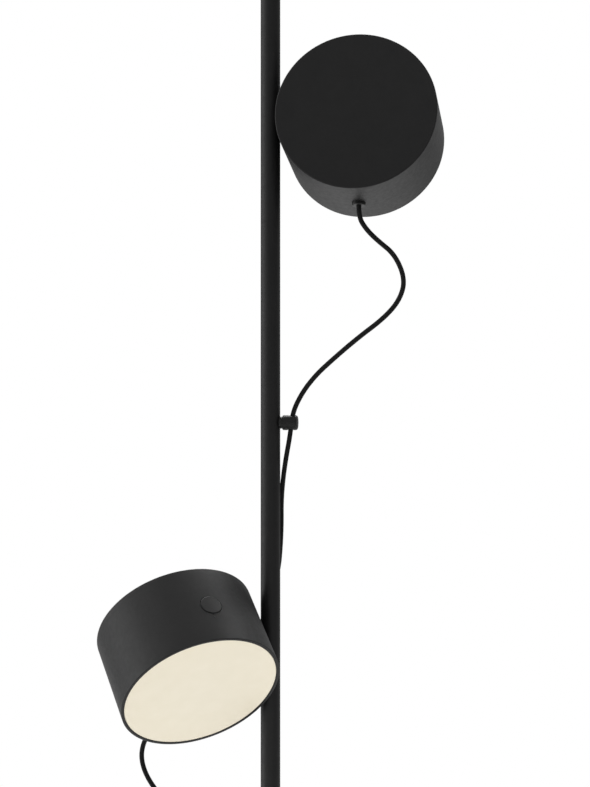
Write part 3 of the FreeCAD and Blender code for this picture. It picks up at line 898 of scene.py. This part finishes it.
def pole_tube(name, node, radius, wall, extra_rows=()):
    """Tube with softly broken ends, as long as its CAD node."""
    bottom, top = node_span(node)
    inner = radius - wall
    corners = [(radius, bottom, 0.25)]
    corners += [(radius, height, 0) for height in extra_rows]
    corners += [(radius, top, 0.25), (inner, top, 0.2)]
    corners += [(inner, height, 0) for height in reversed(extra_rows)]
    corners += [(inner, bottom, 0.2)]
    return turned(name, rounded(corners, closed=True, steps=3), closed=True, segments=96)


def pole():
    lower = pole_tube("pole_lower_length", "lower_tube", POLE_RADIUS, POLE_WALL, (50, 70))
    cut(lower, [drill(OUTLET_HOLE_RADIUS, 0, 12, along_y(0, 0, OUTLET_HEIGHT), segments=8)])
    finish_piece(lower, "root", ["lower_tube"], BLACK)
    for name, node, body, radius, wall in (
        ("pole_middle_length", "main_tube", "root", POLE_RADIUS, POLE_WALL),
        ("pole_upper_length", "upper_tube", "root", POLE_RADIUS, POLE_WALL),
        ("pole_extension", "extension_tube", "extension", EXTENSION_RADIUS, EXTENSION_WALL),
    ):
        tube = pole_tube(name, node, radius, wall)
        finish_piece(tube, body, [node], BLACK)


def foot():
    low, high = node_span("floor_cup")
    cup = turned("foot_cup", rounded([
        (0, low, 0),
        (END_PLATE_RADIUS, low, 0.4),
        (END_PLATE_RADIUS, low + END_PLATE_THICKNESS, 1.2),
        (11, low + END_PLATE_THICKNESS, 1.6),
        (11, high, 0.6),
        (POLE_SOCKET_RADIUS, high, 0.2),
        (POLE_SOCKET_RADIUS, low + 5, 0),
        (0, low + 5, 0),
    ]), segments=160)
    finish_piece(cup, "root", ["floor_cup"], BLACK)
    low, high = node_span("floor_pad")
    pad = turned("foot_pad", rounded([
        (0, low, 0),
        (END_PAD_RADIUS, low, 0.6),
        (END_PAD_RADIUS, high, 0.2),
        (0, high, 0),
    ]), segments=128)
    finish_piece(pad, "root", ["floor_pad"], RUBBER)
    outlet = turned("lead_grommet", rounded([
        (2.1, 6.5, 0),
        (3.4, 6.5, 0),
        (3.4, 8.0, 0),
        (3.5, 8.05, 0),
        (3.5, 10.0, 0.6),
        (2.1, 10.0, 0.4),
    ], closed=True, steps=4), along_y(0, 0, OUTLET_HEIGHT), closed=True, segments=48)
    finish_piece(outlet, "root", ["mains_outlet_bush"], RUBBER)


def grip_collar():
    """Collar that clamps the extension, with a ring of grip ribs, and its knurled lock screw."""
    bottom, top = node_span("reach_collar")
    step = bottom + COLLAR_STEP
    height = step + LOCK_SCREW_ABOVE_STEP
    body = turned("collar_body", rounded([
        (POLE_SOCKET_RADIUS, bottom, 0.2),
        (10.2, bottom, 0.6),
        (10.7, bottom + 3, 0.4),
        (10.7, top - 3, 0.4),
        (10.2, top, 0.6),
        (EXTENSION_SOCKET_RADIUS, top, 0.2),
        (EXTENSION_SOCKET_RADIUS, step, 0),
        (POLE_SOCKET_RADIUS, step, 0),
    ], closed=True), closed=True, segments=128)
    cut(body, [drill(LOCK_SCREW_HOLE_RADIUS, 0, 14, along_y(0, 0, height), segments=32)])
    rib = box_piece("rib", (0.7, 0.9, 9.0))
    broken_edges(rib, 0.3)
    grown(rib, RING, Count=40, Radius=10.6, Material=BLACK)
    rib.data.transform(Matrix.Translation((0, 0, bottom + 10.0)))
    collar = joined("reach_collar_grip", [body, rib])
    finish_piece(collar, "root", ["reach_collar"], BLACK)

    knob = turned("knob", rounded([
        (0, 6.4, 0),
        (1.95, 6.4, 0.3),
        (1.95, 11.3, 0),
        (4.6, 11.3, 0.4),
        (4.6, 19.3, 0.8),
        (2.6, 19.3, 0.3),
        (2.4, 18.9, 0),
        (0, 18.9, 0),
    ]), segments=64)
    grip = box_piece("grip", (0.5, 0.5, 6.0))
    broken_edges(grip, 0.12)
    grown(grip, RING, Count=30, Radius=4.7, Material=BLACK)
    grip.data.transform(Matrix.Translation((0, 0, 15.3)))
    screw = joined("lock_knob", [knob, grip])
    finish_piece(screw, "lock_screw", ["lock_screw"], BLACK,
                 along_y(0, 0, height))


def sprung_top():
    """Guide, shaft, plate, pad and spring of the part that presses on the ceiling."""
    low, high = node_span("plunger_bush")
    bush = turned("plunger_guide", rounded([
        (PLUNGER_BORE, low, 0.2),
        (4.7, low, 0.2),
        (4.7, high - 3, 0),
        (EXTENSION_RADIUS, high - 3, 0.1),
        (EXTENSION_RADIUS, high, 0.7),
        (PLUNGER_BORE, high, 0.3),
    ], closed=True), closed=True, segments=72)
    finish_piece(bush, "extension", ["plunger_bush"], PLASTIC)
    low, high = node_span("plunger_rod")
    rod = turned("plunger_shaft", rounded([
        (0, low, 0),
        (4.5, low, 0.4),
        (4.5, low + 8, 0.4),
        (3.0, low + 8, 0.2),
        (3.0, high, 0.4),
        (0, high, 0),
    ]), segments=64)
    finish_piece(rod, "plunger", ["plunger_rod"], STEEL)
    low, high = node_span("ceiling_cup")
    cup = turned("ceiling_plate", rounded([
        (0, high, 0),
        (END_PLATE_RADIUS, high, 0.4),
        (END_PLATE_RADIUS, high - END_PLATE_THICKNESS, 1.2),
        (9, high - END_PLATE_THICKNESS, 1.6),
        (9, low, 0.6),
        (PLUNGER_BORE, low, 0.2),
        (PLUNGER_BORE, low + 14, 0),
        (0, low + 14, 0),
    ]), segments=160)
    finish_piece(cup, "plunger", ["ceiling_cup"], BLACK)
    low, high = node_span("ceiling_pad")
    pad = turned("ceiling_rubber", rounded([
        (0, low, 0),
        (END_PAD_RADIUS, low, 0.2),
        (END_PAD_RADIUS, high, 0.6),
        (0, high, 0),
    ]), segments=128)
    finish_piece(pad, "plunger", ["ceiling_pad"], RUBBER)
    low, high = node_span("plunger_spring")
    spring = box_piece("plunger_coil", (1, 1, 1))
    grown(spring, COIL, Turns=SPRING_TURNS, Radius=SPRING_RADIUS,
          Height=high - low - 2 * SPRING_END_GAP, Wire_Radius=SPRING_WIRE_RADIUS, Material=STEEL)
    spring.data.transform(Matrix.Translation((0, 0, low + SPRING_END_GAP)))
    placed(spring, STEEL)
    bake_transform(spring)
    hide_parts("plunger_spring")


# ---------------------------------------------------------------- light source

def light_source(prefix):
    """LED packages in two rings on the plate, and the screws that hold it on its posts."""
    plate_face = LED_PLATE_FROM_BACK - CONTACT_FROM_BACK
    rings = []
    for radius, count in LED_RINGS:
        package = box_piece("package", (3.8, 3.8, 0.9), Matrix.Translation((0, 0, 0.45)))
        broken_edges(package, 0.15)
        grown(package, RING, Count=count, Radius=radius, Material=FINISHES["led_yellow"])
        package.data.transform(Matrix.Rotation(math.pi / count, 4, "Z"))
        rings.append(package)
    chips = joined(f"{prefix}_led_packages", rings)
    place = head_place(prefix) @ along_y(HEAD_MIDDLE, plate_face, 0)
    finish_piece(chips, f"{prefix}_head", [f"{prefix}_led_chips"],
                 FINISHES["led_yellow"], place)
    screw = turned("screw", rounded([
        (0, -7.9, 0),
        (1.4, -7.9, 0.3),
        (1.4, 0.02, 0),
        (2.7, 0.02, 0.2),
        (2.6, 1.2, 0.5),
        (0, 1.9, 0),
    ]), segments=32)
    cross = [box_piece("cutter", size, Matrix.Translation((0, 0, 1.8)))
             for size in ((2.4, 0.6, 1.4), (0.6, 2.4, 1.4))]
    cut(screw, cross)
    grown(screw, RING, Count=PLATE_SCREW_COUNT, Radius=PLATE_SCREW_CIRCLE, Material=STEEL)
    screws = joined(f"{prefix}_plate_fixings", [screw])
    finish_piece(screws, f"{prefix}_head", [f"{prefix}_plate_screws"], STEEL, place)


# ---------------------------------------------------------------- CAD nodes that stay

def dress_cad_nodes():
    """Every node that still shows takes the finish of its material slot."""
    slots = {s["node"]: s["material_slot"] for s in frame["record"]["subparts"]}
    for node, piece in frame["nodes"].items():
        if piece.hide_render:
            continue
        piece.data.materials.clear()
        piece.data.materials.append(FINISHES[slots[node]])


# ---------------------------------------------------------------- room

def soft_light(name, place, target, size, watts):
    lamp = bpy.data.lights.new(name, "AREA")
    lamp.shape = "RECTANGLE"
    lamp.size, lamp.size_y = size
    lamp.energy = watts
    holder = linked(name, lamp)
    holder.location = place
    holder.rotation_euler = (Vector(target) - Vector(place)).to_track_quat("-Z", "Y").to_euler()


def room():
    """Plain pale floor, white round about for the camera, and soft lamps."""
    span = 4.4
    mesh = bpy.data.meshes.new("floor")
    corners = [(-span, -span, 0), (span, -span, 0), (span, span, 0), (-span, span, 0)]
    mesh.from_pydata(corners, [], [(0, 1, 2, 3)])
    floor = linked("floor", mesh)
    paper = bpy.data.materials.new("pale_floor")
    paper.use_nodes = True
    nodes, links = paper.node_tree.nodes, paper.node_tree.links
    shader = nodes["Principled BSDF"]
    shader.inputs["Base Color"].default_value = (0.82, 0.82, 0.82, 1)
    shader.inputs["Roughness"].default_value = 0.9
    shader.inputs["Emission Color"].default_value = (1, 1, 1, 1)
    seen = nodes.new("ShaderNodeLightPath").outputs["Is Camera Ray"]
    lift = nodes.new("ShaderNodeMath")
    lift.operation = "MULTIPLY"
    lift.inputs[1].default_value = FLOOR_LIFT
    links.new(seen, lift.inputs[0])
    links.new(lift.outputs[0], shader.inputs["Emission Strength"])
    mesh.materials.append(paper)

    world = bpy.data.worlds.new("studio")
    bpy.context.scene.world = world
    world.use_nodes = True
    nodes, links = world.node_tree.nodes, world.node_tree.links
    background = nodes["Background"]
    background.inputs["Color"].default_value = (1, 1, 1, 1)
    seen = nodes.new("ShaderNodeLightPath").outputs["Is Camera Ray"]
    level = nodes.new("ShaderNodeMapRange")
    level.inputs["To Min"].default_value = WORLD_LEVEL
    level.inputs["To Max"].default_value = 1.0
    links.new(seen, level.inputs["Value"])
    links.new(level.outputs[0], background.inputs["Strength"])

    for lamp in LAMPS:
        soft_light(*lamp)
    bpy.context.scene.view_settings.view_transform = "Standard"


# ---------------------------------------------------------------- whole lamp

set_camera()
for head, lead, side in HEADS:
    make_cord(head, lead, side)
for head, *_ in HEADS:
    head_shell(head)
    diffuser(head)
    push_button(head)
    cord_gland(head)
    cord_clip(head)
    cord_boot(head)
    light_source(head)
pole()
foot()
grip_collar()
sprung_top()
dress_cad_nodes()
room()
